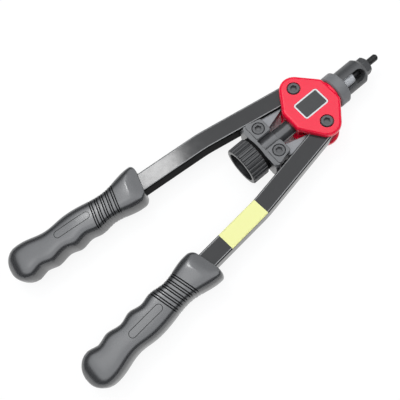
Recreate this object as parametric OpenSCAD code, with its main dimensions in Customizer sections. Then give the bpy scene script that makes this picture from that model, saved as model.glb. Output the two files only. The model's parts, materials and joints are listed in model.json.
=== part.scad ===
// Two-hand lever tool for setting rivet nuts.
// Millimetres. The origin is the centre of the nosepiece's front face, +X points out of the nose
// along the mandrel, +Y to the left handle and +Z up. The handles are modelled closed.

/* [Nosepiece and mandrel] */
// Nosepiece hexagon across flats
hex_af = 14; // [12:0.5:15]
// Nosepiece hexagon length
hex_l = 6; // [5:0.5:8]
// Edge bevel of the nosepiece hexagon
hex_bevel = 0.8; // [0.4:0.1:1.2]
// Nosepiece screw stem diameter
hex_stem_d = 10; // [9:0.5:10.5]
// Nosepiece screw stem length
hex_stem_l = 3; // [2:0.5:3.5]
// Mandrel thread diameter
mandrel_d = 6; // [5:0.5:6]
// Mandrel threaded length in front of the nosepiece
mandrel_l = 11; // [8:0.5:14]
// Bevelled tip of the mandrel
mandrel_tip = 1; // [0.5:0.1:1.5]
// Mandrel shank length behind the nosepiece face
mandrel_shank_l = 31; // [26:0.5:34]
// Radius by which the shank is thinner than the thread
mandrel_relief = 0.2; // [0.1:0.05:0.3]
// Play around the mandrel in the nosepiece, on the radius
mandrel_play = 0.35; // [0.3:0.05:0.4]

/* [Nose housing and lock collar] */
// Nose housing diameter
housing_d = 22.6; // [21:0.2:24]
// Nose housing length between the collar and the nosepiece
housing_l = 23.5; // [22:0.5:26]
// Length of the housing's front bevel
housing_bevel_l = 3; // [2:0.5:4]
// Depth of the housing's front bevel on the radius
housing_bevel_r = 2.4; // [1.5:0.1:2.8]
// Housing threaded stem diameter
stem_d = 17; // [16:0.5:18]
// Depth of the stem inside the head
stem_depth = 9; // [7:0.5:11]
// Window width
window_w = 10; // [8:0.5:11]
// Wall in front of the window
window_front = 3.5; // [3:0.5:5]
// How far the window is turned towards the right
window_turn = 35; // [0:5:60]
// Lock collar diameter
collar_d = 28.8; // [26:0.2:30]
// Lock collar length
collar_l = 10; // [8:0.5:12]
// Edge bevel of the lock collar
collar_bevel = 1; // [0.5:0.1:1.5]

/* [Head casting] */
// Distance between the two handle pivots
pivot_spacing = 39; // [38:0.5:42]
// Thickness of each head plate
plate_t = 5.4; // [5:0.1:6.5]
// Radius of the lobe around each pivot
lobe_r = 11.8; // [11.4:0.1:13]
// Head plate behind the pivots
rear_reach = 21.5; // [20.5:0.5:23]
// Width of the straight rear edge
rear_edge_w = 23; // [21:0.5:25]
// Head plate in front of the pivots
front_reach = 22.8; // [21:0.2:24]
// Width of the straight front edge
front_edge_w = 31; // [29:0.5:33]
// Radius of the head plates' front corners
front_corner_r = 7; // [6:0.5:9]
// Radius of the head plates' rear corners
rear_corner_r = 3.4; // [3.2:0.1:4.5]
// Radius of the rounded edge round the head plates
plate_edge_r = 2.8; // [1.5:0.1:3]
// Width of the web between the head plates
web_w = 19; // [17.5:0.5:20]
// Step from the plates' rear edge to the web
web_step = 1.5; // [1:0.5:3]
// Front boss diameter
boss_d = 24.6; // [22:0.2:25]
// Front boss length
boss_l = 0.7; // [0.5:0.1:2]
// Name plate length
name_plate_l = 24; // [20:0.5:24]
// Name plate width
name_plate_w = 16.2; // [14:0.2:16.6]
// Name plate thickness
name_plate_t = 0.6; // [0.4:0.1:1]
// Name plate corner radius
name_plate_r = 1.6; // [1:0.1:2.5]
// Name plate centre in front of the pivots
name_plate_shift = 1.1; // [0:0.1:1.5]

/* [Screws] */
// Socket screw head diameter
screw_head_d = 10; // [9:0.5:10.5]
// Socket screw head height
screw_head_h = 4; // [3.5:0.1:4.2]
// Socket screw thread diameter
screw_d = 6; // [5:0.5:6]
// Hexagon socket across flats
socket_af = 5; // [4:0.5:5.5]
// Hexagon socket depth
socket_depth = 2.4; // [1.5:0.1:2.8]
// Edge bevel of the screw heads
screw_bevel = 0.5; // [0.3:0.1:0.8]
// Pivot shoulder diameter
shoulder_d = 7; // [6.5:0.1:7.5]
// Height of the pivot screw heads above the head plate
screw_rise = 0.6; // [0.2:0.1:1]
// Play around a sunk pivot screw head, on the radius
sink_play = 0.7; // [0.3:0.1:1]
// Play around a sunk crosshead screw head, on the radius
cross_sink_play = 0.35; // [0.2:0.05:0.4]

/* [Handles] */
// Handle tube width
handle_w = 15.8; // [15:0.1:16.4]
// Distance of the handle tube's middle outside its pivot
handle_offset = 1.8; // [1.4:0.1:2]
// Handle tube height
handle_h = 14; // [13.5:0.1:14.5]
// Handle tube wall
tube_wall = 1.8; // [1.5:0.1:1.9]
// Handle tube corner radius
tube_corner_r = 1.4; // [1:0.1:2]
// Corner radius inside the handle tube
tube_inner_r = 0.5; // [0.3:0.1:0.8]
// Angle between the tool's axis and the front of a handle
splay = 10.5; // [10:0.1:11]
// Bend in each handle
bend = 5.3; // [4:0.1:6.5]
// Radius of the bend
bend_r = 120; // [90:5:150]
// Handle from the pivot to the bend
front_straight = 80; // [74:1:86]
// Handle from the bend to the grip
rear_straight = 54.5; // [50:0.5:60]
// Depth of the handle inside the grip
grip_depth = 92; // [80:1:96]
// Distance from a handle's pivot to its crank pin
crank_r = 12; // [11.5:0.1:12.5]
// Crank pin diameter
crank_pin_d = 5; // [4.6:0.1:5.2]
// Length of the link's slot in the handle behind the crank pin
link_slot_l = 27; // [26:0.5:30]
// Depth of the crank pin's ends below the handle's faces
crank_pin_sink = 0.5; // [0.4:0.1:0.8]
// Pivot bush diameter
bush_d = 10; // [9.4:0.1:10.4]

/* [Grips] */
// Grip length
grip_l = 126; // [122:1:134]
// Grip thickness
grip_t = 25.5; // [23:0.5:27]
// Depth of the grip's waist behind its front swell
waist = 1; // [0.5:0.1:1.5]
// Width of the grip's front face
grip_face_w = 21; // [20:0.5:24]
// Thickness of the grip's front face
grip_face_t = 19; // [18:0.5:20]
// Length of the grip's rounded front edge
grip_edge_l = 5; // [4:0.5:7]
// Length of the sloping facets at the grip's front
grip_facet_l = 11; // [9:0.5:13]
// How far the grip's front face and grooves lean back towards the fingers
grip_lean = 11; // [6:1:13]
// Length of the grip's rounded rear end
grip_end_l = 15; // [12:1:17]
// Depth of the grooves round the grip
groove_depth = 0.6; // [0.3:0.1:0.8]
// Distance between pairs of grooves
groove_pitch = 5; // [4.4:0.1:5.2]
// First pair of grooves behind the grip's front face
groove_start = 24.5; // [24:0.5:25]

/* [Crosshead and links] */
// Crosshead screws behind the handle pivots
cross_back = 44; // [43:0.5:46]
// Distance between the crosshead screws
cross_spacing = 25; // [24:0.5:25]
// Crosshead pads' height above the axis
pad_top = 11.6; // [11:0.1:12.4]
// Step from the pads down to the arms
pad_step = 1; // [0.5:0.1:1.5]
// Inset of the raised pads from the arms' edges
pad_inset = 0.4; // [0.3:0.1:0.5]
// Pad length
pad_l = 15; // [14:0.5:16]
// Distance of the pads' inner edges from the axis
pad_inner = 5.2; // [4.8:0.1:5.6]
// Distance of the pads' outer edges from the axis at the front
pad_side_front = 18.6; // [18.4:0.1:19]
// Distance of the pads' outer edges from the axis at the rear
pad_side_rear = 21.6; // [21:0.1:21.8]
// Pad corner radius
pad_corner_r = 2.2; // [1:0.1:3]
// Thickness of the crosshead's rear flange
flange_t = 3.5; // [3:0.5:4.5]
// Distance of the rear flange's ends from the axis
flange_side = 22; // [21.6:0.1:22.2]
// Corner radius of the rear flange
flange_corner_r = 4; // [3:0.5:5]
// Diameter of the crosshead's middle barrel
barrel_d = 14.4; // [14:0.1:14.6]
// Link thickness
link_t = 8; // [7:0.1:8.4]
// Link end diameter at the crosshead screw
link_cross_d = 10; // [9.4:0.1:10.2]
// Link end diameter at the crank pin
link_crank_d = 9.4; // [9:0.1:9.6]
// Play of the crank pin in the link, on the radius
crank_play = 0.75; // [0.65:0.05:0.8]

/* [Pull shaft and knob] */
// Pull shaft diameter
shaft_d = 10.4; // [10:0.1:10.6]
// Front end of the pull shaft behind the nosepiece face
shaft_front = 16.5; // [16.4:0.1:18]
// Sleeve diameter
sleeve_d = 13.5; // [13:0.1:14]
// Sleeve length in front of the crosshead
sleeve_l = 24; // [22:0.5:26]
// Knob diameter
knob_d = 34; // [32:0.5:35]
// Length of the knob's fluted rim
knob_l = 15.5; // [15:0.5:18]
// Number of flutes round the knob
flutes = 28; // [24:1:30]
// Flute cutter diameter
flute_d = 2; // [1.6:0.1:2.2]
// Depth of the knob's cup
cup_depth = 11; // [10.5:0.5:11.5]
// Diameter of the knob's cup
cup_d = 26.8; // [25:0.2:27.4]
// Bevel of the knob's edges
knob_bevel = 0.8; // [0.4:0.1:1.2]
// Knob hub diameter
hub_d = 19; // [17:0.5:21]
// Knob hub length
hub_l = 1.9; // [1.5:0.1:3]
// Nut across flats
nut_af = 13; // [12:0.5:14]
// Nut thickness
nut_t = 5; // [4:0.5:5.5]
// Diameter of the shaft's threaded rear end
tail_d = 8; // [7:0.5:8]
// Length of thread that stands out of the nut
tail_rise = 1; // [0.5:0.1:1.5]
// Thickness of the clamped web inside the knob
knob_web = 4; // [3:0.5:5]
// Thrust washer thickness
washer_t = 1.1; // [0.8:0.1:1.5]
// Retaining ring thickness
ring_t = 1; // [0.8:0.1:1.2]
// Retaining ring diameter
ring_d = 12.6; // [12.2:0.1:12.8]
// Depth of the retaining ring's groove on the radius
ring_groove = 0.5; // [0.3:0.1:0.7]

/* [Clearances] */
// Running play on the radius of turning and sliding fits
running_play = 0.05; // [0.03:0.01:0.08]
// Play of the sleeve and shaft in the head on the radius
guide_play = 0.1; // [0.06:0.01:0.1]
// Play between fixed pieces
seat_play = 0.05; // [0.02:0.01:0.08]
// Side play between a handle and a head plate
slot_play = 0.4; // [0.3:0.05:0.6]
// Side play of a link in the crosshead
link_play = 0.25; // [0.2:0.05:0.4]
// End play of turning rings
end_play = 0.1; // [0.06:0.01:0.2]
// Play between a grip and its handle
grip_play = 0.25; // [0.2:0.05:0.35]

/* [Hidden] */
$fn = 64;

// Overrun that lets a cut pass clear of a face
over = 1;
// Segments of a socket or nut
hex = 6;
// Hexagon corner radius for one unit across flats
hex_corner = 0.5 / cos(30);

// Places along the axis, measured back from the nosepiece face
housing_front = -hex_l;
housing_rear = housing_front - housing_l;
collar_rear = housing_rear - collar_l;
head_front = collar_rear - boss_l;
pivot_x = head_front - front_reach;
head_rear = pivot_x - rear_reach;
cross_x = pivot_x - cross_back;
pad_front = cross_x + pad_l / 2;
flange_front = cross_x - pad_l / 2;
flange_rear = flange_front - flange_t;
sleeve_front = pad_front + sleeve_l;
ring_rear = sleeve_front + end_play;
hub_front = flange_rear - washer_t - end_play;
rim_front = hub_front - hub_l;
rim_rear = rim_front - knob_l;
cup_floor = rim_rear + cup_depth;
shoulder_rear = cup_floor + knob_web;
tail_rear = cup_floor - nut_t - tail_rise;

// Heights above the axis
slot_top = handle_h / 2 + slot_play;
head_top = slot_top + plate_t;
arm_top = pad_top - pad_step;
link_slot = link_t / 2 + link_play;
pivot_seat = head_top + screw_rise - screw_head_h;
cross_seat = pad_top - screw_head_h;

// Places across the tool
pivot_y = pivot_spacing / 2;
cross_y = cross_spacing / 2;
left_pivot = [pivot_x, pivot_y];
left_cross = [cross_x, cross_y];
left_crank = left_pivot + crank_r * [-cos(splay), sin(splay)];

// Radii shared by several pieces
bush_half_h = slot_top - end_play;
link_bore_r = screw_d / 2 + running_play;
crank_eye_r = crank_pin_d / 2 + crank_play;
shaft_r = shaft_d / 2;

// Steps round the edge of a head plate
edge_steps = 4;

// Steps round a corner of the handle tube, and along its bend
corner_steps = 6;
bend_steps = 8;

// Half widths of the grip at its crests and hollows, as [place along the grip, half width]
palm_side = [[0, 17.8], [5, 17.8], [35, 11.8], [65, 14.2], [84, 11.8], [109, 15.6], [grip_l, 15.6]];
finger_side = [[0, 15.6], [8, 15.8], [33, 12.3], [46, 14.4], [56.5, 12.8], [69, 15.4],
    [79.5, 13], [92, 15.8], [101.5, 13.8], [111, 16.4], [grip_l, 16.4]];
grip_height = [[0, grip_t / 2], [9, grip_t / 2], [35, grip_t / 2 - waist], [67, grip_t / 2],
    [grip_l, grip_t / 2]];
// Share of the lean along the grip, which ends behind the grooves
lean_share = [[0, 1], [48, 1], [76, 0], [grip_l, 0]];
// Points round each ring of the grip
ring_points = 24;
// Roundness of the grip's section and of its pocket
grip_square = 3.4;
pocket_square = 14;
// Pairs of grooves, and the half width and the spread of the two grooves of a pair
groove_pairs = 5;
groove_half = 0.5;
groove_floor = 0.25;
groove_spread = 0.95;
// Share of the grooves' depth on the grip's sides
groove_side = 0.4;
groove_end = groove_start + (groove_pairs - 1) * groove_pitch;
// Distance between plain rings of the grip, and steps round its rear end
ring_step = 3.2;
end_steps = 7;
// Steps round the grip's front edge
edge_rings = 5;

// Outline round a list of circles [centre, radius] given counter-clockwise
function tangent_turn(a, b) =
    let (d = b[0] - a[0])
    atan2(d[1], d[0]) - acos((a[1] - b[1]) / norm(d));
function tangent_pair(a, b) =
    let (t = tangent_turn(a, b))
    [a[0] + a[1] * [cos(t), sin(t)], b[0] + b[1] * [cos(t), sin(t)]];
function tangent_points(circles) =
    [for (i = [0 : len(circles) - 1]) each tangent_pair(circles[i], circles[(i + 1) % len(circles)])];

module belt(circles) {
    polygon(tangent_points(circles));
    for (c = circles) translate(c[0]) circle(c[1]);
}

module rounded_rect(w, h, r) {
    square([w - 2 * r, h], center = true);
    square([w, h - 2 * r], center = true);
    for (x = [-1, 1], y = [-1, 1]) translate([x * (w / 2 - r), y * (h / 2 - r)]) circle(r);
}

// Round bar along the axis between two places
module bar(from, to, r) {
    translate([from, 0, 0]) rotate([0, 90, 0]) cylinder(h = to - from, r = r);
}

// Cone along the axis between two places
module taper(from, to, r_from, r_to) {
    translate([from, 0, 0]) rotate([0, 90, 0]) cylinder(h = to - from, r1 = r_from, r2 = r_to);
}

// Hexagon bar along the axis between two places
module hex_bar(from, to, af) {
    translate([from, 0, 0]) rotate([0, 90, 0]) cylinder(h = to - from, r = af * hex_corner, $fn = hex);
}

// Both copies of a piece that lies on the left and on the right
module both_sides() {
    children();
    mirror([0, 1, 0]) children();
}

module right_side() {
    mirror([0, 1, 0]) children();
}

// A socket screw's head with its underside at z = 0
module socket_head() {
    difference() {
        union() {
            cylinder(h = screw_head_h - screw_bevel, d = screw_head_d);
            translate([0, 0, screw_head_h - screw_bevel])
                cylinder(h = screw_bevel, d1 = screw_head_d, d2 = screw_head_d - 2 * screw_bevel);
        }
        translate([0, 0, screw_head_h - socket_depth])
            cylinder(h = socket_depth + over, r = socket_af * hex_corner, $fn = hex);
    }
}

// Head

function head_circles(inset) = [
    [[head_rear + rear_corner_r, rear_corner_r - rear_edge_w / 2], rear_corner_r - inset],
    [[pivot_x, -pivot_y], lobe_r - inset],
    [[head_front - front_corner_r, front_corner_r - front_edge_w / 2], front_corner_r - inset],
    [[head_front - front_corner_r, front_edge_w / 2 - front_corner_r], front_corner_r - inset],
    [[pivot_x, pivot_y], lobe_r - inset],
    [[head_rear + rear_corner_r, rear_edge_w / 2 - rear_corner_r], rear_corner_r - inset]];

module head_plate() {
    hull() for (k = [0 : edge_steps]) let (a = 90 * k / edge_steps)
        linear_extrude(plate_t - plate_edge_r * (1 - sin(a)))
            belt(head_circles(plate_edge_r * (1 - cos(a))), $fn = 32);
}

module head_casting() {
    web_rear = head_rear + web_step;
    color("crimson") difference() {
        union() {
            translate([0, 0, slot_top]) head_plate();
            mirror([0, 0, 1]) translate([0, 0, slot_top]) head_plate();
            translate([web_rear, -web_w / 2, -slot_top - over])
                cube([head_front - web_rear - plate_edge_r, web_w, 2 * (slot_top + over)]);
            bar(head_front - stem_depth, collar_rear, boss_d / 2);
        }
        bar(web_rear - over, pivot_x, sleeve_d / 2 + guide_play);
        bar(pivot_x - over, collar_rear, shaft_r + guide_play);
        bar(head_front - stem_depth, collar_rear + over, stem_d / 2 + seat_play);
        both_sides() translate([pivot_x, pivot_y, 0]) {
            translate([0, 0, -head_top - over]) cylinder(h = head_top, d = screw_d + 2 * seat_play);
            cylinder(h = head_top + over, d = shoulder_d + 2 * seat_play);
            translate([0, 0, pivot_seat])
                cylinder(h = screw_head_h + over, d = screw_head_d + 2 * sink_play);
        }
        translate([pivot_x + name_plate_shift, 0, head_top - name_plate_t])
            linear_extrude(name_plate_t + over)
                rounded_rect(name_plate_l + 2 * seat_play, name_plate_w + 2 * seat_play, name_plate_r);
    }
}

module name_plate() {
    color("darkslategray") translate([pivot_x + name_plate_shift, 0, head_top - name_plate_t])
        linear_extrude(name_plate_t) rounded_rect(name_plate_l, name_plate_w, name_plate_r);
}

module pivot_bolts() {
    color("dimgray") both_sides() translate([pivot_x, pivot_y, 0]) {
        translate([0, 0, pivot_seat]) socket_head();
        translate([0, 0, -slot_top]) cylinder(h = slot_top + pivot_seat, d = shoulder_d);
        translate([0, 0, -head_top]) cylinder(h = head_top - slot_top, d = screw_d);
    }
}

// Nose

module lock_collar() {
    rear = collar_rear + end_play;
    front = housing_rear - end_play;
    r = collar_d / 2;
    color("gray") difference() {
        union() {
            taper(rear, rear + collar_bevel, r - collar_bevel, r);
            bar(rear + collar_bevel, front - collar_bevel, r);
            taper(front - collar_bevel, front, r, r - collar_bevel);
        }
        bar(rear - over, front + over, stem_d / 2 + running_play);
    }
}

module nose_housing() {
    r = housing_d / 2;
    window_front_x = housing_front - window_front;
    window_r = window_w / 2;
    bevel_x = housing_front - housing_bevel_l;
    stem_rear = head_front - stem_depth;
    color("dimgray") difference() {
        union() {
            bar(stem_rear, housing_rear + over, stem_d / 2);
            bar(housing_rear, bevel_x, r);
            taper(bevel_x, housing_front, r, r - housing_bevel_r);
        }
        bar(stem_rear - over, housing_front - hex_stem_l, shaft_r + mandrel_play);
        bar(housing_front - hex_stem_l - over, housing_front + over, hex_stem_d / 2 + seat_play);
        rotate([window_turn, 0, 0]) translate([0, 0, -r - over]) linear_extrude(2 * (r + over)) {
            translate([window_front_x - window_r, 0]) circle(window_r);
            translate([housing_rear, -window_r])
                square([window_front_x - window_r - housing_rear, window_w]);
        }
    }
}

module nosepiece() {
    corner_r = hex_af * hex_corner;
    color("dimgray") difference() {
        union() {
            intersection() {
                hex_bar(housing_front, 0, hex_af);
                union() {
                    bar(housing_front, -hex_bevel, corner_r);
                    taper(-hex_bevel, 0, corner_r, corner_r - hex_bevel);
                }
            }
            bar(housing_front - hex_stem_l, housing_front + over, hex_stem_d / 2);
        }
        bar(housing_front - hex_stem_l - over, over, mandrel_d / 2 + mandrel_play);
    }
}

// Handles, with their length along +X from the pivot and their inner side towards +Y

module at_handle() {
    translate([pivot_x, pivot_y, 0]) rotate(180 - splay) children();
}

// The tube's own middle line lies outside the pivot
module at_tube() {
    at_handle() translate([0, -handle_offset, 0]) children();
}

module after_bend() {
    translate([front_straight + bend_r * sin(bend), bend_r * (1 - cos(bend)), 0]) rotate(bend) children();
}

// Faces that join rings of n points, and that close the first and the last ring
function skin_faces(rings, n) =
    [for (k = [0 : rings - 2], i = [0 : n - 1]) let (j = (i + 1) % n)
        each [[k * n + j, k * n + i, (k + 1) * n + i], [(k + 1) * n + j, k * n + j, (k + 1) * n + i]]];
function first_cap(n) = [for (i = [1 : n - 2]) [0, i, i + 1]];
function last_cap(rings, n) =
    let (start = (rings - 1) * n)
    [for (i = [1 : n - 2]) [start, start + i + 1, start + i]];

// The tube's rounded section, as [across, up] points
function tube_section(w, h, r) =
    [for (corner = [0 : 3], step = [0 : corner_steps])
        let (a = 90 * (corner + step / corner_steps), m = 90 * corner + 45)
        [sign(cos(m)) * (w / 2 - r) + r * cos(a), sign(sin(m)) * (h / 2 - r) + r * sin(a)]];

// Stations along the handle's centre line, as [x, y, turn]
function handle_line(front, rear) = concat(
    [[-front, 0, 0]],
    [for (k = [0 : bend_steps]) let (a = bend * k / bend_steps)
        [front_straight + bend_r * sin(a), bend_r * (1 - cos(a)), a]],
    [[front_straight + bend_r * sin(bend) + rear * cos(bend),
        bend_r * (1 - cos(bend)) + rear * sin(bend), bend]]);

// The handle's centre line swept by its section, inset for the inside of the tube
module handle_sweep(inset, corner_r, front, rear) {
    line = handle_line(front, rear);
    section = tube_section(handle_w - 2 * inset, handle_h - 2 * inset, corner_r);
    points = [for (p = line, q = section) [p[0] - q[0] * sin(p[2]), p[1] + q[0] * cos(p[2]), q[1]]];
    rings = len(line);
    n = len(section);
    polyhedron(points, concat(skin_faces(rings, n), first_cap(n), last_cap(rings, n)));
}

module handle_tube() {
    tip_r = handle_w / 2;
    tube_rear = rear_straight + grip_depth;
    slot_front = crank_r - link_crank_d / 2 - crank_play;
    slot_rear = crank_r + link_slot_l;
    slot_side = link_crank_d / 2 + crank_play;
    color("black") difference() {
        at_tube() difference() {
            intersection() {
                handle_sweep(0, tube_corner_r, tip_r, tube_rear);
                translate([0, 0, -handle_h]) linear_extrude(2 * handle_h) {
                    circle(tip_r);
                    translate([0, -handle_w])
                        square([2 * front_straight + tube_rear, 4 * handle_w]);
                }
            }
            handle_sweep(tube_wall, tube_inner_r, 0, tube_rear + over);
        }
        at_handle() {
            translate([slot_front, -slot_side, -link_slot])
                cube([slot_rear - slot_front, slot_side + handle_w, 2 * link_slot]);
            cylinder(h = 2 * handle_h, d = bush_d + 2 * seat_play, center = true);
            translate([crank_r, 0, 0])
                cylinder(h = handle_h - 2 * crank_pin_sink, d = crank_pin_d + 2 * seat_play, center = true);
        }
    }
}

module pivot_bush() {
    color("silver") at_handle() difference() {
        cylinder(h = 2 * bush_half_h, d = bush_d, center = true);
        cylinder(h = 2 * (bush_half_h + over), d = shoulder_d + 2 * running_play, center = true);
    }
}

module crank_pin() {
    color("silver") at_handle() translate([crank_r, 0, 0])
        cylinder(h = handle_h - 2 * crank_pin_sink, d = crank_pin_d, center = true);
}

// Smooth run through stations that are crests, hollows or ends
function run(stations, s) =
    let (i = max([for (k = [0 : len(stations) - 2]) if (stations[k][0] <= s) k]),
        a = stations[i], b = stations[i + 1], t = min(1, (s - a[0]) / (b[0] - a[0])))
    a[1] + (b[1] - a[1]) * (1 - cos(180 * t)) / 2;

// Share of the full section left in the rounded rear end
function end_share(s) =
    let (t = max(0, (s - grip_l + grip_end_l) / grip_end_l))
    sqrt(max(0, 1 - t * t));

// A half size that swells out of the front face round a rounded edge
function from_face(face, full, s) =
    let (t = 1 - min(1, s / grip_edge_l))
    face + (full - face) * sqrt(1 - t * t);

function rounded(v, power) = sign(v) * pow(abs(v), 2 / power);

// Half thickness between the sloping facets at the grip's front
function facet_height(s) =
    (grip_face_t + (grip_t - grip_face_t) * min(1, s / grip_facet_l)) / 2;

// A point of a ring at s, moved along the grip by the ring's lean
function leaned(s, y, z) = [s + y * tan(grip_lean) * run(lean_share, s), y, z];

// One ring round the grip at s, its groove depth taken off
function grip_ring(s, depth) =
    let (palm = from_face(grip_face_w / 2, run(palm_side, s), s),
        finger = from_face(grip_face_w / 2, run(finger_side, s), s), share = end_share(s),
        half_w = (palm + finger) / 2 * share - depth * groove_side,
        half_t = run(grip_height, s) * share - depth, limit = facet_height(s),
        middle = (finger - palm) / 2)
    [for (i = [0 : ring_points - 1]) let (a = 360 * i / ring_points)
        leaned(s, middle + half_w * rounded(cos(a), grip_square),
            max(-limit, min(limit, half_t * rounded(sin(a), grip_square))))];

function pocket_ring(s) =
    [for (i = [0 : ring_points - 1]) let (a = 360 * i / ring_points)
        leaned(s, (handle_w / 2 + grip_play) * rounded(cos(a), pocket_square),
            (handle_h / 2 + grip_play) * rounded(sin(a), pocket_square))];

// Places and depths of the rings: front, grooves, waist and swells, rounded end
grip_front_rings = concat([for (k = [0 : edge_rings]) [grip_edge_l * (1 - cos(90 * k / edge_rings)), 0]],
    [for (s = [grip_edge_l + ring_step : ring_step : groove_start - ring_step]) [s, 0]]);
grip_groove_rings = [for (p = [0 : groove_pairs - 1], side = [-1, 1], e = [-1, -0.5, 0.5, 1])
    let (s = groove_start + p * groove_pitch + side * groove_spread)
    [s + (abs(e) == 1 ? e * groove_half : 2 * e * groove_floor), abs(e) == 1 ? 0 : groove_depth]];
grip_body_rings = [for (s = [groove_end + ring_step : ring_step : grip_l - grip_end_l]) [s, 0]];
grip_end_rings = [for (k = [0 : end_steps]) [grip_l - grip_end_l * (1 - sin(88 * k / end_steps)), 0]];
grip_rings = concat(grip_front_rings, grip_groove_rings, grip_body_rings, grip_end_rings);

module grip() {
    outer = [for (r = grip_rings) each grip_ring(r[0], r[1])];
    pocket = concat(pocket_ring(0), pocket_ring(grip_depth + grip_play));
    n = ring_points;
    rings = len(grip_rings);
    base = len(outer);
    well = [for (i = [0 : n - 1]) let (j = (i + 1) % n)
        each [[base + n + i, base + i, base + j], [base + n + i, base + j, base + n + j]]];
    face = [for (i = [0 : n - 1]) let (j = (i + 1) % n)
        each [[base + i, i, j], [base + i, j, base + j]]];
    floor = [for (i = [1 : n - 2]) [base + n, base + n + i, base + n + i + 1]];
    color("slategray") at_tube() after_bend() translate([rear_straight, 0, 0])
        polyhedron(concat(outer, pocket),
            concat(skin_faces(rings, n), last_cap(rings, n), well, face, floor));
}

module left_handle_tube() handle_tube();
module left_grip() grip();
module left_pivot_bush() pivot_bush();
module left_crank_pin() crank_pin();
module right_handle_tube() right_side() handle_tube();
module right_grip() right_side() grip();
module right_pivot_bush() right_side() pivot_bush();
module right_crank_pin() right_side() crank_pin();

// Links

module link() {
    ends = [[left_cross, link_cross_d / 2], [left_crank, link_crank_d / 2]];
    color("darkgray") translate([0, 0, -link_t / 2]) linear_extrude(link_t) difference() {
        belt(ends);
        translate(left_cross) circle(link_bore_r);
        translate(left_crank) circle(crank_eye_r);
    }
}

module left_link() link();
module right_link() right_side() link();

// Crosshead

// The four corners of a pad, with the middles of the rear ones at the given place
function pad_circles(rear, inset) = [
    [[rear, pad_inner + pad_corner_r], pad_corner_r - inset],
    [[pad_front - pad_corner_r, pad_inner + pad_corner_r], pad_corner_r - inset],
    [[pad_front - pad_corner_r, pad_side_front - pad_corner_r], pad_corner_r - inset],
    [[rear, pad_side_rear - pad_corner_r], pad_corner_r - inset]];

module crosshead() {
    slot_side = cross_y - link_cross_d / 2 - link_play;
    slot_rear = cross_x - link_cross_d / 2 - link_play;
    color("dimgray") difference() {
        union() {
            translate([flange_rear, 0, 0]) rotate([90, 0, 90]) linear_extrude(flange_t)
                rounded_rect(2 * flange_side, 2 * arm_top, flange_corner_r);
            bar(flange_rear, pad_front, barrel_d / 2);
            both_sides() {
                translate([0, 0, -pad_top]) linear_extrude(2 * pad_top)
                    belt(pad_circles(flange_front + pad_corner_r, pad_inset));
                translate([0, 0, -arm_top]) linear_extrude(2 * arm_top) belt(pad_circles(flange_front, 0));
            }
        }
        both_sides() translate([slot_rear, slot_side, -link_slot])
            cube([pad_front - slot_rear + over, flange_side, 2 * link_slot]);
        bar(flange_rear - over, pad_front + over, shaft_r + running_play);
        both_sides() translate([cross_x, cross_y, 0]) {
            cylinder(h = 2 * (pad_top + over), d = screw_d + 2 * seat_play, center = true);
            translate([0, 0, cross_seat])
                cylinder(h = screw_head_h + over, d = screw_head_d + 2 * cross_sink_play);
        }
    }
}

module crosshead_bolts() {
    color("dimgray") both_sides() translate([cross_x, cross_y, 0]) {
        translate([0, 0, cross_seat]) socket_head();
        translate([0, 0, -arm_top]) cylinder(h = arm_top + cross_seat, d = screw_d);
    }
}

module pull_sleeve() {
    color("black") difference() {
        bar(pad_front, sleeve_front, sleeve_d / 2);
        bar(pad_front - over, sleeve_front + over, shaft_r + running_play);
    }
}

// Pull shaft, mandrel and knob

module pull_shaft() {
    socket_rear = -mandrel_shank_l - over;
    color("silver") difference() {
        union() {
            bar(shoulder_rear, -shaft_front, shaft_r);
            bar(tail_rear, shoulder_rear + over, tail_d / 2);
        }
        bar(socket_rear, -shaft_front + over, mandrel_d / 2 - mandrel_relief + seat_play);
        difference() {
            bar(ring_rear - seat_play, ring_rear + ring_t + seat_play, shaft_r + over);
            bar(ring_rear - over, ring_rear + ring_t + over, shaft_r - ring_groove);
        }
    }
}

module mandrel() {
    r = mandrel_d / 2;
    color("black") {
        bar(-mandrel_shank_l, 0, r - mandrel_relief);
        bar(0, mandrel_l, r);
        taper(mandrel_l, mandrel_l + mandrel_tip, r, r - mandrel_tip);
    }
}

module knob() {
    r = knob_d / 2;
    color("dimgray") difference() {
        union() {
            taper(rim_rear, rim_rear + knob_bevel, r - knob_bevel, r);
            bar(rim_rear + knob_bevel, rim_front - knob_bevel, r);
            taper(rim_front - knob_bevel, rim_front, r, r - knob_bevel);
            bar(rim_front - over, hub_front, hub_d / 2);
        }
        bar(shoulder_rear, hub_front + over, shaft_r + seat_play);
        bar(cup_floor - over, shoulder_rear + over, tail_d / 2 + seat_play);
        bar(rim_rear - over, cup_floor, cup_d / 2);
        for (i = [0 : flutes - 1]) rotate([360 * i / flutes, 0, 0]) translate([0, 0, r])
            bar(rim_rear - over, rim_front + over, flute_d / 2);
    }
}

module knob_nut() {
    color("silver") difference() {
        hex_bar(cup_floor - nut_t, cup_floor, nut_af);
        bar(cup_floor - nut_t - over, cup_floor + over, tail_d / 2 + seat_play);
    }
}

module thrust_washer() {
    color("silver") difference() {
        bar(hub_front, hub_front + washer_t, hub_d / 2);
        bar(hub_front - over, hub_front + washer_t + over, shaft_r + seat_play);
    }
}

module retaining_ring() {
    color("silver") difference() {
        bar(ring_rear, ring_rear + ring_t, ring_d / 2);
        bar(ring_rear - over, ring_rear + ring_t + over, shaft_r - ring_groove + seat_play);
    }
}

head_casting();
name_plate();
pivot_bolts();
lock_collar();
nose_housing();
nosepiece();
left_handle_tube();
left_grip();
left_pivot_bush();
left_crank_pin();
left_link();
right_handle_tube();
right_grip();
right_pivot_bush();
right_crank_pin();
right_link();
crosshead();
crosshead_bolts();
pull_sleeve();
pull_shaft();
mandrel();
knob();
knob_nut();
thrust_washer();
retaining_ring();
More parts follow.
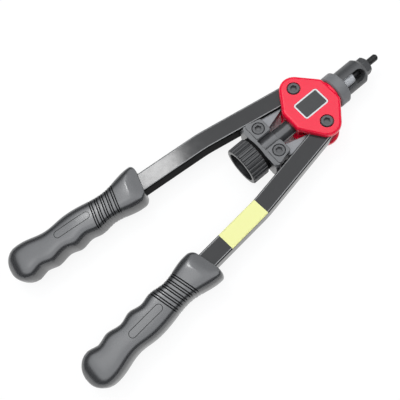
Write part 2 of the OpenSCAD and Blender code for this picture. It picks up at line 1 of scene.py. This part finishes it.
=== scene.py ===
# %% [markdown]
# # A two-hand rivet nut tool
# The lesson dresses it: camera first, then the finishes, then the pieces that need more detail
# than a solid has, and the light. The scene is in metres, and the nose points along +X.

# %% Load the frame
import json
import math

import bmesh
import bpy
from mathutils import Matrix, Vector


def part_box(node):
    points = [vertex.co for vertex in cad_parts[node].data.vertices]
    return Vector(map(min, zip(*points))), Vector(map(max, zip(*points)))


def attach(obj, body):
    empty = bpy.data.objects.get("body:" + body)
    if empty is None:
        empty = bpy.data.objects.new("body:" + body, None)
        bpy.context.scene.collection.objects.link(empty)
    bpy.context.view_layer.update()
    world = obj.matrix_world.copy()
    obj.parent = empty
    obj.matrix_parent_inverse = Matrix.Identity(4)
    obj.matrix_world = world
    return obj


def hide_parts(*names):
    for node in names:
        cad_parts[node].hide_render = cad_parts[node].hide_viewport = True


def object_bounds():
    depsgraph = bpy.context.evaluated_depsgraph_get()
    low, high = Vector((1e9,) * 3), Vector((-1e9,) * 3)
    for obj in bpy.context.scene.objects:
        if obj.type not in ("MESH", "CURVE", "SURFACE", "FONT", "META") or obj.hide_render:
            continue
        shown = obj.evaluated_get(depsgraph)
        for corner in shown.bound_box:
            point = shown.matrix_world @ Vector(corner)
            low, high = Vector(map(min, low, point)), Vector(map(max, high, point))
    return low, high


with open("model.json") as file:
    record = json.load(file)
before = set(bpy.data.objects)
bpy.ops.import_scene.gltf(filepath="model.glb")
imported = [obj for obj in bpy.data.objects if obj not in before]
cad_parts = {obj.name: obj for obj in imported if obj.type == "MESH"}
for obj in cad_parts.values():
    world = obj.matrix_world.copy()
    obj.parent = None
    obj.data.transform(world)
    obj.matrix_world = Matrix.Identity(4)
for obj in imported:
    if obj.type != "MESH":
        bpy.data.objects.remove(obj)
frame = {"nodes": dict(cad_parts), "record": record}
cad_box = [list(corner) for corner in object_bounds()]
nodes = frame["nodes"]
record = frame["record"]
body_of = {node: body for body, names in record["behaviour"]["bodies"].items() for node in names}
MM = 0.001
print("nodes", len(nodes), "box", cad_box)

# %% [markdown]
# ## Camera
# The photograph looks steeply down on the tool from close by, and was turned afterwards, so that
# the tool lies across its corner. A camera can be aimed with a constraint or by its own axes. The
# axes are used here, because they say plainly which way is right, up and away, and how far the
# picture is rolled.

# %% Camera
turn = math.radians(18.757)
tilt = math.radians(71.225)
roll = math.radians(-21.639)
aim = Vector((-179.16, 0.856, 0.0)) * MM
distance = 455.05 * MM
focal_pixels = 566.96
picture_pixels = 400
level = Vector((math.cos(turn), -math.sin(turn), 0))
ahead = Vector((math.sin(turn) * math.cos(tilt), math.cos(turn) * math.cos(tilt), -math.sin(tilt)))
above = level.cross(ahead)
right = level * math.cos(roll) + above * math.sin(roll)
up = above * math.cos(roll) - level * math.sin(roll)
eye = aim - distance * ahead
bpy.ops.object.select_all(action="DESELECT")
bpy.ops.object.camera_add(location=eye)
camera = bpy.context.object
camera.matrix_world = Matrix.Translation(eye) @ Matrix((right, up, -ahead)).transposed().to_4x4()
camera.data.sensor_fit = "HORIZONTAL"
camera.data.sensor_width = 36
camera.data.lens = camera.data.sensor_width * focal_pixels / picture_pixels
bpy.context.scene.camera = camera
print("camera at", [round(v, 3) for v in eye])

# %% [markdown]
# ## Shader sums
# A finish is easier to read as a sum than as a web of wires. One small class wraps a socket, so
# that Python's own signs add Math nodes.

# %% Shader sums
class Wire:
    """An output socket that can be used in sums."""

    def __init__(self, sheet, socket):
        self.sheet = sheet
        self.socket = socket

    def math(self, operation, other=0.0, reflected=False):
        first, second = (other, self) if reflected else (self, other)
        return self.sheet.add("ShaderNodeMath", {"operation": operation}, {0: first, 1: second})

    def __add__(self, other):
        return self.math("ADD", other)

    def __radd__(self, other):
        return self.math("ADD", other, True)

    def __sub__(self, other):
        return self.math("SUBTRACT", other)

    def __rsub__(self, other):
        return self.math("SUBTRACT", other, True)

    def __mul__(self, other):
        return self.math("MULTIPLY", other)

    def __rmul__(self, other):
        return self.math("MULTIPLY", other, True)

# %% [markdown]
# ## Sheet of nodes
# Every finish is a sheet of nodes round a shader. The nodes could be added one by one in each
# finish. Here one method adds any node and sets its sockets, and a few short methods stand for
# the common ones, so that most finishes take only a handful of lines.

# %% Sheet of nodes
class Sheet:
    """The nodes of a new material or world."""

    def __init__(self, owner, shader="Principled BSDF", place="Object"):
        owner.use_nodes = True
        self.owner = owner
        self.tree = owner.node_tree
        self.shader = self.tree.nodes[shader]
        self.place = self.add("ShaderNodeTexCoord", out=place)

    def add(self, kind, settings=None, sockets=None, out=0):
        node = self.tree.nodes.new(kind)
        for name, value in (settings or {}).items():
            setattr(node, name, value)
        for name, value in (sockets or {}).items():
            self.join(value, node.inputs[name])
        return Wire(self, node.outputs[out])

    def join(self, value, socket):
        if isinstance(value, Wire):
            self.tree.links.new(value.socket, socket)
        else:
            socket.default_value = value

    def give(self, **inputs):
        for name, value in inputs.items():
            self.join(value, self.shader.inputs[name.replace("_", " ")])

    def noise(self, size, detail=3.0, stretch=(1, 1, 1)):
        """Noise whose features are about size metres wide."""
        place = self.add("ShaderNodeMapping", None, {"Vector": self.place, "Scale": stretch})
        return self.add("ShaderNodeTexNoise", None,
                        {"Vector": place, "Scale": 1 / size, "Detail": detail})

    def step(self, value, low, high):
        """0 below low, 1 above high and smooth between them."""
        return self.add("ShaderNodeMapRange", {"interpolation_type": "SMOOTHSTEP"},
                        {"Value": value, "From Min": low, "From Max": high})

    def mix(self, share, first, second):
        return self.add("ShaderNodeMix", {"data_type": "RGBA"},
                        {"Factor": share, 6: first, 7: second}, out=2)

    def bump(self, height, depth, normal=None):
        sockets = {"Height": height, "Distance": depth}
        if normal:
            sockets["Normal"] = normal
        return self.add("ShaderNodeBump", None, sockets)


def grey(level, tint=(1, 1, 1)):
    return tuple(level * t for t in tint) + (1,)

# %% [markdown]
# ## Metal finishes
# Most of the tool is steel that was blackened, phosphated, ground or painted. The differences lie
# in how dark and how rough each one is, and in a fine grain that breaks up the reflections.
# A picture could carry that grain, but noise on the object's own coordinates needs no file.
# No machined piece ends in a perfect edge either: a Bevel node turns the normals near an edge, so
# that it catches the light as a small rounding does.

# %% Metal finishes
cool = (0.98, 1, 1.03)
edge_r = 0.4 * MM


def steel(name, dark, pale, rough, grain, metallic=0.0, stretch=(1, 1, 1), depth=0.02, specular=0.7):
    """Steel whose colour drifts between two levels, with the grain's size and depth in millimetres."""
    sheet = Sheet(bpy.data.materials.new(name))
    drift = sheet.noise(6 * MM)
    speckle = sheet.noise(grain * MM, 2.0, stretch)
    rounding = sheet.add("ShaderNodeBevel", {"samples": 6}, {"Radius": edge_r})
    sheet.give(
        Base_Color=sheet.mix(0.6 * drift + 0.4 * speckle, grey(dark, cool), grey(pale, cool)),
        Roughness=rough + 0.14 * (speckle - 0.5),
        Metallic=metallic,
        Specular_IOR_Level=specular,
        Normal=sheet.bump(speckle, depth * MM, rounding),
    )
    return sheet.owner


screw_black = steel("screw_black", 0.05, 0.08, 0.3, 0.5)
phosphate_grey = steel("phosphate_grey", 0.15, 0.2, 0.5, 0.4)
nose_black = steel("nose_black", 0.03, 0.085, 0.42, 0.5)
cast_black = steel("cast_black", 0.07, 0.09, 0.3, 0.7, depth=0.03, specular=1.0)
oiled_black = steel("oiled_black", 0.045, 0.06, 0.2, 0.6, specular=1.0)
ground_bright = steel("ground_bright", 0.78, 0.88, 0.42, 0.3, 0.1, (0.1, 1, 1))
thread_black = steel("thread_black", 0.02, 0.035, 0.38, 0.3)
knob_black = steel("knob_black", 0.025, 0.04, 0.32, 0.4)
zinc_pale = steel("zinc_pale", 0.5, 0.62, 0.35, 0.6, 0.8)
link_plain = steel("link_plain", 0.21, 0.27, 0.42, 0.4, 0.3, (0.2, 1, 1))
print("steel finishes, with edges rounded by", edge_r / MM, "mm")

# %% [markdown]
# ## Paint and rubber
# The head is a casting under thick red enamel and the handles carry a glossy black paint. Both
# show a slight ripple in their reflections, like the skin of an orange. Parts of the handles carry
# painted shade, a dull black, and a painted highlight, a paler grey. The grips are a satin dark
# moulding with a fine grain.

# %% Paint and rubber
def enamel(name, base, deep, rough, ripple, specular):
    """Paint whose colour drifts from base to deep, with ripples of the given height in millimetres."""
    sheet = Sheet(bpy.data.materials.new(name))
    drift = sheet.noise(9 * MM)
    skin = sheet.noise(1.6 * MM, 1.0)
    sheet.give(
        Base_Color=sheet.mix(drift, base, deep),
        Roughness=rough + 0.08 * (sheet.noise(4 * MM) - 0.5),
        Normal=sheet.bump(skin, ripple * MM),
        Specular_IOR_Level=specular,
    )
    return sheet.owner


red = (0.98, 0.006, 0.05, 1)
deep_red = (0.94, 0.004, 0.04, 1)
red_enamel = enamel("red_enamel", red, deep_red, 0.2, 0.02, 0.5)
black_paint = enamel("black_paint", grey(0.024), grey(0.032), 0.12, 0.002, 0.35)
# A paler grey stands for a painted highlight beside the handle corners.
painted_highlight_grey = enamel("painted_highlight_grey", grey(0.2), grey(0.28), 0.25, 0.002, 0.8)
# A near-black with almost no reflection stands for painted shade: on the handle sides, in the grip
# grooves, in the panel seams and on the knob's shoulder.
painted_shade_black = enamel("painted_shade_black", grey(0.006), grey(0.012), 0.5, 0.002, 0.02)
grip_tint = (0.97, 1, 1.05)
grain_depth = 0.015 * MM


def moulding(name, dark, pale, rough):
    """A satin moulding whose grey drifts between two levels."""
    sheet = Sheet(bpy.data.materials.new(name))
    grain = sheet.noise(0.35 * MM, 2.0)
    drift = sheet.noise(14 * MM)
    sheet.give(
        Base_Color=sheet.mix(drift, grey(dark, grip_tint), grey(pale, grip_tint)),
        Roughness=rough + 0.12 * (grain - 0.5),
        Normal=sheet.bump(grain, grain_depth),
        IOR=1.6,
        Specular_IOR_Level=1.0,
    )
    return sheet.owner


grip_grey = moulding("grip_grey", 0.032, 0.042, 0.25)
print("materials", len(bpy.data.materials))

# %% [markdown]
# ## Dress the CAD nodes
# Many pieces are shown as the CAD made them and need only their finish. Each node has one material
# slot, so a table from node to finish is enough, and a loop fills in the mirror pairs.

# %% Dress the CAD nodes
finishes = {
    "head_casting": red_enamel, "pivot_bolts": screw_black, "crosshead_bolts": screw_black,
    "lock_collar": phosphate_grey, "nose_housing": nose_black, "nosepiece": nose_black,
    "crosshead": cast_black, "pull_sleeve": oiled_black, "pull_shaft": ground_bright,
    "mandrel": thread_black, "knob": knob_black, "knob_nut": zinc_pale, "thrust_washer": zinc_pale,
    "retaining_ring": zinc_pale, "name_plate": cast_black,
}
sides = ("left", "right")
for side in sides:
    finishes[side + "_handle_tube"] = black_paint
    finishes[side + "_grip"] = grip_grey
    finishes[side + "_pivot_bush"] = zinc_pale
    finishes[side + "_crank_pin"] = zinc_pale
    finishes[side + "_link"] = link_plain
for name, finish in finishes.items():
    nodes[name].material_slots[0].material = finish
print("dressed", len(finishes))

# %% [markdown]
# ## Hands for modelling
# The next steps work in edit mode as by hand, so a few helpers stand for the hand: one takes an
# object alone, one opens its mesh, one closes it, and one picks faces, edges or corners by a test.

# %% Hands for modelling
def take(piece):
    bpy.ops.object.select_all(action="DESELECT")
    piece.select_set(True)
    bpy.context.view_layer.objects.active = piece


def open_mesh(piece):
    take(piece)
    bpy.ops.object.mode_set(mode="EDIT")
    bpy.ops.mesh.select_all(action="SELECT")


def close_mesh():
    bpy.ops.object.mode_set(mode="OBJECT")


def pick(piece, kind, test):
    """Selects what passes the test in an open mesh, and returns how many did."""
    bpy.ops.mesh.select_mode(type=kind)
    bpy.ops.mesh.select_all(action="DESELECT")
    mesh = bmesh.from_edit_mesh(piece.data)
    mesh.normal_update()
    found = [e for e in {"FACE": mesh.faces, "EDGE": mesh.edges, "VERT": mesh.verts}[kind] if test(e)]
    for element in found:
        element.select_set(True)
    mesh.select_flush_mode()
    bmesh.update_edit_mesh(piece.data)
    return len(found)

# %% [markdown]
# ## Skins from CAD nodes
# A piece that follows the CAD's form closely starts as a copy of its node. The copy is loose
# triangles, so it is welded first. Smooth shading with weighted normals makes its roundings look
# round, and the skin then takes the place of the node.

# %% Skins from CAD nodes
tiny = 0.001 * MM


def apply(piece, kind, **settings):
    """Adds a modifier with its settings and applies it."""
    take(piece)
    modifier = piece.modifiers.new(kind.lower(), kind)
    for name, value in settings.items():
        setattr(modifier, name, value)
    bpy.ops.object.modifier_apply(modifier=modifier.name)


def smooth(piece, degrees):
    """Rounds the shading across edges flatter than the angle, and keeps large faces flat."""
    take(piece)
    bpy.ops.object.shade_smooth_by_angle(angle=math.radians(degrees))
    apply(piece, "WEIGHTED_NORMAL", keep_sharp=True)


def welded_copy(node, name):
    piece = bpy.data.objects.new(name, nodes[node].data.copy())
    bpy.context.collection.objects.link(piece)
    open_mesh(piece)
    bpy.ops.mesh.customdata_custom_splitnormals_clear()
    bpy.ops.mesh.remove_doubles(threshold=tiny)
    close_mesh()
    return piece


def stand_for(piece, node):
    """Lets a piece take the body and the place of a CAD node."""
    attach(piece, body_of[node])
    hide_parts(node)
    print(piece.name, len(piece.data.polygons), "faces")

# %% [markdown]
# ## Head and handle tubes
# The casting has large rounded edges and the tubes have small ones. The solids carry them as a few
# flat strips, which would show as stripes in a glossy paint. A welded copy with smooth shading
# hides the strips, and weighted normals keep the flat faces flat up to the rounding. The sides
# that face each other and the corners carry painted shade, a dull black. A narrow strip beside
# each corner, where the top begins to bend, carries a painted highlight, a paler grey.

# %% Head and handle tubes
bend_angle = 32
top_ends = 0.1
strip_ends = 0.5
side_begins = 0.95
head_skin = welded_copy("head_casting", "head_skin")
smooth(head_skin, bend_angle)
stand_for(head_skin, "head_casting")


def tube_gloss_or_painted_light(normal, inward):
    """2 for a painted highlight where the top begins to bend, 1 for painted shade on the sides and
    corners, 0 for gloss.
    """
    facing = normal.y * inward
    if normal.z > 0 and top_ends < abs(facing) < strip_ends:
        return 2
    return 1 if facing > strip_ends or -side_begins < facing < -strip_ends else 0


for side in sides:
    tube = welded_copy(side + "_handle_tube", side + "_tube_skin")
    smooth(tube, bend_angle)
    # Painted shade in a dull black and a painted highlight in a paler grey go into two more slots.
    tube.data.materials.append(painted_shade_black)
    tube.data.materials.append(painted_highlight_grey)
    inward = -1 if side == "left" else 1
    for face in tube.data.polygons:
        face.material_index = tube_gloss_or_painted_light(face.normal, inward)
    stand_for(tube, side + "_handle_tube")

# %% [markdown]
# ## Grips
# A moulded grip has no flat strips at all. Remodelling it would lose the CAD's form, so its own
# rings are kept: the triangles are joined back to the four-sided faces of the loft, the ring edges
# at the grooves and at the front facets are creased, and a subdivision surface rounds the rest.
# The floors of the narrow grooves on the broad sides carry painted shade, a dull black.

# %% Grips
crisp_angle = math.radians(13)
ring_edge_l = 0.4 * MM
ring_crease = 0.85
broad_side = 0.55
grip_bend_angle = 28
quad_bend = math.radians(40)
quad_skew = math.radians(60)


def is_crisp_ring_edge(edge):
    """True for an edge across the grip that the surface turns at, but not for a very short one."""
    reach = edge.verts[0].co - edge.verts[1].co
    crosses = abs(reach.y) > 2 * abs(reach.x) and reach.length > ring_edge_l
    return crosses and edge.is_manifold and edge.calc_face_angle() > crisp_angle


def is_groove_floor(face):
    """True for a face of the broad sides that the surface rises from at both ends, along the grip."""
    sunk = sum(is_crisp_ring_edge(edge) and not edge.is_convex for edge in face.edges) == 2
    return sunk and abs(face.normal.z) > broad_side


grips = {}
for side in sides:
    grip = welded_copy(side + "_grip", side + "_grip_skin")
    open_mesh(grip)
    bpy.ops.mesh.tris_convert_to_quads(face_threshold=quad_bend, shape_threshold=quad_skew)
    creased = pick(grip, "EDGE", is_crisp_ring_edge)
    bpy.ops.transform.edge_crease(value=ring_crease)
    # The groove floors carry painted shade.
    grip.data.materials.append(painted_shade_black)
    grip.active_material_index = 1
    floors = pick(grip, "FACE", is_groove_floor)
    bpy.ops.object.material_slot_assign()
    close_mesh()
    apply(grip, "SUBSURF", levels=2, render_levels=2)
    smooth(grip, grip_bend_angle)
    print("creased edges", creased, "groove floor faces", floors)
    stand_for(grip, side + "_grip")
    grips[side] = grip

# %% [markdown]
# ## Shoulder of the knob
# The fluted knob meets the crosshead with a broad shoulder, so no light falls through between
# them. A cylinder fills the narrow room in front of the knob, its two ends are inset and bridged
# to a ring round the hub, and the front edge is bevelled. Its dull black is painted shade.

# %% Shoulder of the knob
hub_l = 1.9 * MM
hub_r = 9.5 * MM
hub_play = 0.1 * MM
shoulder_r = 15.5 * MM
shoulder_edge = 0.5 * MM
sunk_in_knob = 0.2 * MM
crosshead_play = 0.3 * MM
nearly = 0.9
shoulder_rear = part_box("knob")[1].x - hub_l - sunk_in_knob
shoulder_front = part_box("crosshead")[0].x - crosshead_play


def settle(piece):
    """Puts a new object's place and size into its mesh."""
    take(piece)
    bpy.ops.object.transform_apply(location=True, rotation=True, scale=True)


def is_front_rim(edge):
    """True for an edge of the shoulder's outer rim at the front."""
    return all(v.co.x > shoulder_front - 10 * tiny and v.co.yz.length > hub_r + MM for v in edge.verts)


bpy.ops.object.select_all(action="DESELECT")
bpy.ops.mesh.primitive_cylinder_add(
    vertices=96,
    radius=shoulder_r,
    depth=shoulder_front - shoulder_rear,
    location=((shoulder_rear + shoulder_front) / 2, 0, 0),
    rotation=(0, math.radians(90), 0),
)
shoulder = bpy.context.object
shoulder.name = "knob_shoulder"
settle(shoulder)
open_mesh(shoulder)
pick(shoulder, "FACE", lambda f: abs(f.normal.x) > nearly)
bpy.ops.mesh.inset(thickness=shoulder_r - hub_r - hub_play)
bpy.ops.mesh.bridge_edge_loops()
pick(shoulder, "EDGE", is_front_rim)
bpy.ops.mesh.bevel(offset=shoulder_edge, segments=3)
close_mesh()
smooth(shoulder, bend_angle)
# The shoulder's dull black is painted shade.
shoulder.data.materials.append(painted_shade_black)
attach(shoulder, "spindle")
print(shoulder.name, "length", round((shoulder_front - shoulder_rear) / MM, 2), "mm")

# %% [markdown]
# ## Panel seam on the grips
# A long round-ended panel is marked on each grip by a fine seam. It could be a bump in the rubber's
# finish, but then the mesh would not have it. Here a disc is stretched to the panel's shape, inset
# to a narrow ribbon and pressed onto the grip, where it lies like the shadow in the seam.

# %% Panel seam on the grips
grip_start = Vector((-206.6, 42.3, 0)) * MM
grip_along = Vector((-0.99588, 0.09063, 0))
grip_out = Vector((0.09063, 0.99588, 0))
panel_front = 47.5 * MM
panel_rear = 80.3 * MM
panel_r = 3.3 * MM
panel_shift = 0.7 * MM
seam_w = 0.42 * MM
seam_t = 0.08 * MM
seam_lift = 0.02 * MM
start_height = 20 * MM
side_cuts = 24


def panel_seam(side, face):
    """A seam on the upper side of a grip, face 1, or on its lower side, face -1."""
    mirror = 1 if side == "left" else -1
    along = Vector((grip_along.x, grip_along.y * mirror, 0))
    out = Vector((grip_out.x, grip_out.y * mirror, 0))
    start = Vector((grip_start.x, grip_start.y * mirror, 0)) + out * panel_shift
    middle = start + along * (panel_front + panel_r)
    bpy.ops.object.select_all(action="DESELECT")
    bpy.ops.mesh.primitive_circle_add(vertices=32, radius=panel_r, fill_type="NGON",
                                      location=middle + Vector((0, 0, start_height * face)),
                                      rotation=(0, 0, math.atan2(along.y, along.x)))
    seam = bpy.context.object
    seam.name = f"{side}_grip_seam_{'upper' if face > 0 else 'lower'}"
    settle(seam)
    open_mesh(seam)
    pick(seam, "VERT", lambda v: (v.co - middle).dot(along) > 10 * tiny)
    bpy.ops.transform.translate(value=along * (panel_rear - panel_front - 2 * panel_r))
    pick(seam, "EDGE", lambda e: e.calc_length() > panel_r)
    bpy.ops.mesh.subdivide(number_cuts=side_cuts)
    pick(seam, "FACE", lambda f: True)
    bpy.ops.mesh.inset(thickness=seam_w)
    bpy.ops.mesh.delete(type="FACE")
    close_mesh()
    apply(seam, "SHRINKWRAP", target=grips[side], wrap_method="PROJECT", use_project_z=True,
          use_negative_direction=True, use_positive_direction=True, offset=seam_lift)
    apply(seam, "SOLIDIFY", thickness=seam_t, offset=0)
    seam.data.materials.append(painted_shade_black)
    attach(seam, side + "_handle")
    lowest = min(v.co.z for v in seam.data.vertices)
    print(seam.name, "from height", round(lowest / MM, 2))


for side in sides:
    for face in (1, -1):
        panel_seam(side, face)

# %% [markdown]
# ## Plate on the head
# A thin printed plate with a pale border sits on the casting. It is kept bare. A cube gets
# rounded corners, its top is inset for the border, and the middle is pressed in a little, as the
# printed field of such a plate is.

# %% Plate on the head
ink_tint = (0.96, 1, 1)


def print_ink(name, dark, pale, rough):
    """Printed grey that drifts between two levels."""
    sheet = Sheet(bpy.data.materials.new(name))
    sheet.give(
        Base_Color=sheet.mix(sheet.noise(2.5 * MM), grey(dark, ink_tint), grey(pale, ink_tint)),
        Roughness=rough + 0.1 * (sheet.noise(0.6 * MM) - 0.5),
    )
    return sheet.owner


plate_corner_r = 2.2 * MM
border_w = 1.1 * MM
field_slope_w = 0.1 * MM
field_depth = 0.12 * MM
plate_low, plate_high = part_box("name_plate")
plate_size = plate_high - plate_low
bpy.ops.object.select_all(action="DESELECT")
bpy.ops.mesh.primitive_cube_add(size=1, location=(plate_low + plate_high) / 2, scale=plate_size)
plate = bpy.context.object
plate.name = "bare_plate"
settle(plate)
open_mesh(plate)
pick(plate, "EDGE", lambda e: abs((e.verts[0].co - e.verts[1].co).z) > nearly * plate_size.z)
bpy.ops.mesh.bevel(offset=plate_corner_r, segments=6)
pick(plate, "FACE", lambda f: f.normal.z > nearly)
bpy.ops.mesh.inset(thickness=border_w)
bpy.ops.mesh.inset(thickness=field_slope_w)
bpy.ops.transform.translate(value=(0, 0, -field_depth))
close_mesh()
plate.data.materials.append(print_ink("plate_border", 0.78, 0.86, 0.4))
plate.data.materials.append(print_ink("plate_field", 0.028, 0.04, 0.35))
for face in plate.data.polygons:
    sunk = plate_high.z - face.center.z > field_depth / 2
    face.material_index = 1 if face.normal.z > nearly and sunk else 0
stand_for(plate, "name_plate")

# %% [markdown]
# ## Sticker on the right handle
# A pale yellow paper sticker lies on the handle and folds a little over its edges. It is bare too.
# The tube bends under it, so the sticker is cut from a copy of the tube's own skin: two bisects
# trim it to length, everything but the upper faces goes, and Solidify gives the paper its
# thickness.

# %% Sticker on the right handle
sticker_front = -147 * MM
sticker_rear = -186.5 * MM
handle_y = -40 * MM
fold_slope = 0.6
fold_depth = 1.2 * MM
paper_t = 0.09 * MM
across_handle = Vector((grip_along.x, -grip_along.y, 0))
sticker = welded_copy("right_handle_tube", "right_sticker")
for place, side_kept in ((sticker_front, 1), (sticker_rear, -1)):
    open_mesh(sticker)
    bpy.ops.mesh.bisect(plane_co=(place, handle_y, 0), plane_no=across_handle * side_kept,
                        clear_inner=True, threshold=tiny)
    close_mesh()
open_mesh(sticker)
tube_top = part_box("right_handle_tube")[1].z
fold_end = tube_top - fold_depth
pick(sticker, "FACE", lambda f: f.normal.z < fold_slope or f.calc_center_median().z < fold_end)
bpy.ops.mesh.delete(type="FACE")
close_mesh()
apply(sticker, "SOLIDIFY", thickness=paper_t, offset=1)
smooth(sticker, bend_angle)
yellow = (0.92, 0.93, 0.36, 1)
pale_yellow = (0.94, 0.95, 0.42, 1)
paper_yellow = Sheet(bpy.data.materials.new("paper_yellow"))
paper_yellow.give(
    Base_Color=paper_yellow.mix(paper_yellow.noise(3 * MM), yellow, pale_yellow),
    Roughness=0.55 + 0.1 * (paper_yellow.noise(0.4 * MM) - 0.5),
)
sticker.material_slots[0].material = paper_yellow.owner
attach(sticker, "right_handle")
print(sticker.name, len(sticker.data.polygons), "faces")

# %% [markdown]
# ## Thread of the mandrel
# The mandrel is a plain cylinder in the CAD. The real one has an M6 thread, which is one profile
# swept along a helix. The Screw modifier does exactly that: it turns the profile of one pitch
# round the axis and moves it on by one pitch each turn.

# %% Thread of the mandrel
stud_low, stud_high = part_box("mandrel")
pitch = 1.0 * MM
thread_depth = 0.6134 * pitch
thread_sides = 28
thread_join = 0.002 * MM
crest_r = stud_high.y
root_r = crest_r - thread_depth
thread_rear = -2 * MM
turns = math.ceil((stud_high.x - thread_rear) / pitch) + 2
profile = [(0, root_r), (pitch / 8, root_r), (pitch * 7 / 16, crest_r),
           (pitch * 9 / 16, crest_r), (pitch * 7 / 8, root_r), (pitch, root_r)]
thread_mesh = bpy.data.meshes.new("mandrel_thread")
thread_mesh.from_pydata([(thread_rear - pitch + x, r, 0) for x, r in profile],
                        [(i, i + 1) for i in range(len(profile) - 1)], [])
thread = bpy.data.objects.new("mandrel_thread", thread_mesh)
bpy.context.collection.objects.link(thread)
apply(thread, "SCREW", axis="X", screw_offset=pitch, iterations=turns, steps=thread_sides,
      render_steps=thread_sides, use_merge_vertices=True, merge_threshold=thread_join)
open_mesh(thread)
bpy.ops.mesh.remove_doubles(threshold=thread_join)
close_mesh()
print("thread turns", turns, "with", len(thread.data.polygons), "faces")

# %% [markdown]
# ## Ends of the mandrel
# A stud is cut to length, and its tip is chamfered so that it finds the nut. Two bisects cut and
# cap the swept thread, the rear cap is extruded to the shank, and the points near the tip are drawn
# in to a cone.

# %% Ends of the mandrel
thread_bend_angle = 35
tip_l = 1.2 * MM
tip_slope = 0.9
open_mesh(thread)
for end, outwards in ((stud_high.x, 1), (thread_rear, -1)):
    bpy.ops.mesh.select_all(action="SELECT")
    bpy.ops.mesh.bisect(plane_co=(end, 0, 0), plane_no=(outwards, 0, 0), use_fill=True,
                        clear_outer=True, threshold=tiny)
square_on = 0.99
rear_cap_x = thread_rear + 10 * tiny
pick(thread, "FACE", lambda f: abs(f.normal.x) > square_on and f.calc_center_median().x < rear_cap_x)
bpy.ops.mesh.extrude_region_move(TRANSFORM_OT_translate={"value": (stud_low.x - thread_rear, 0, 0)})
bpy.ops.mesh.select_all(action="SELECT")
bpy.ops.mesh.normals_make_consistent(inside=False)
close_mesh()
tip_start = stud_high.x - tip_l
for vertex in thread.data.vertices:
    reach = math.hypot(vertex.co.y, vertex.co.z)
    allowed = crest_r - tip_slope * max(0, vertex.co.x - tip_start)
    if reach > allowed:
        vertex.co.y *= allowed / reach
        vertex.co.z *= allowed / reach
smooth(thread, thread_bend_angle)
thread.data.materials.append(thread_black)
stand_for(thread, "mandrel")

# %% [markdown]
# ## Paper floor
# The tool lies on white paper. A plane that is only lit comes out grey in places, so this one also
# glows for the camera and in reflections. It still takes a faint shadow, which is left at its full
# depth under the linkage.

# %% Paper floor
floor_gap = 0.3 * MM
floor_white = (0.94, 0.94, 0.94, 1)
glow_seen = 0.85
glow_mirrored = 0.95
glow_strength = 1.03
glow_starts = (0.7, 1.2)
linkage_x = -88 * MM
linkage_y = 6 * MM
linkage_l = 22 * MM
linkage_w = 20 * MM
bpy.ops.object.select_all(action="DESELECT")
bpy.ops.mesh.primitive_plane_add(size=6, location=(0, 0, cad_box[0][2] - floor_gap))
floor = bpy.context.object
floor.name = "paper_floor"
paper = Sheet(bpy.data.materials.new("paper"))
seen = paper.add("ShaderNodeLightPath", out="Is Camera Ray")
mirrored = paper.add("ShaderNodeLightPath", out="Is Glossy Ray")
glow = paper.add("ShaderNodeEmission", None, {"Color": (1, 1, 1, 1), "Strength": glow_strength})
paper.give(Base_Color=floor_white, Roughness=0.9)
spot = paper.add("ShaderNodeMapping", None, {
    "Vector": paper.place,
    "Location": (-linkage_x / linkage_l, -linkage_y / linkage_w, 0),
    "Scale": (1 / linkage_l, 1 / linkage_w, 1),
})
away = paper.add("ShaderNodeVectorMath", {"operation": "LENGTH"}, {0: spot}, out="Value")
outside = paper.step(away, *glow_starts)
glowing = (glow_seen * seen + glow_mirrored * mirrored) * outside
blend = paper.add("ShaderNodeMixShader", None, {0: glowing})
paper.tree.links.new(paper.shader.outputs[0], blend.socket.node.inputs[1])
paper.tree.links.new(glow.socket, blend.socket.node.inputs[2])
paper.tree.links.new(blend.socket, paper.tree.nodes["Material Output"].inputs[0])
floor.data.materials.append(paper.owner)
print(floor.name, "at height", round(floor.location.z / MM, 2), "mm")

# %% [markdown]
# ## Light
# The room is bright overhead and dark at the sides, which draws the dark bands along the shoulders
# of the grips, and a white backdrop stands at the horizon. The room's brightness is a sum of steps
# over the height, which needs no picture of a room. One lamp stands where the left handle mirrors
# it, and a faint one where the right grip does.

# %% Light
def softbox(name, place, target, size, watts):
    bpy.ops.object.light_add(type="AREA", location=place)
    lamp = bpy.context.object
    lamp.name = name
    lamp.data.size = size
    lamp.data.energy = watts
    lamp.rotation_euler = (Vector(target) - Vector(place)).to_track_quat("-Z", "Y").to_euler()
    print(name, watts, "W")


softbox("left_softbox", place=(-0.09, 0.55, 1.2), target=(-0.19, 0.045, 0), size=0.16, watts=1.75)
softbox("right_softbox", place=(-0.39, 0.18, 1.2), target=(-0.27, -0.055, 0), size=0.36, watts=0.4)

cool_white = (0.975, 0.995, 1.03, 1)
side_level = 0.08
backdrop_level = 0.92
backdrop_top = (0.06, 0.12)
overhead_level = 1.65
overhead_start = (0.62, 0.82)
studio = Sheet(bpy.data.worlds.new("studio"), "Background", "Generated")
height = studio.add("ShaderNodeSeparateXYZ", None, {0: studio.place}, out="Z")
backdrop = 1 - studio.step(height, *backdrop_top)
overhead = studio.step(height, *overhead_start)
strength = side_level + backdrop_level * backdrop + overhead_level * overhead
studio.give(Color=cool_white, Strength=strength)
bpy.context.scene.world = studio.owner
bpy.context.scene.view_settings.view_transform = "Standard"
print("room levels", side_level, backdrop_level, overhead_level)
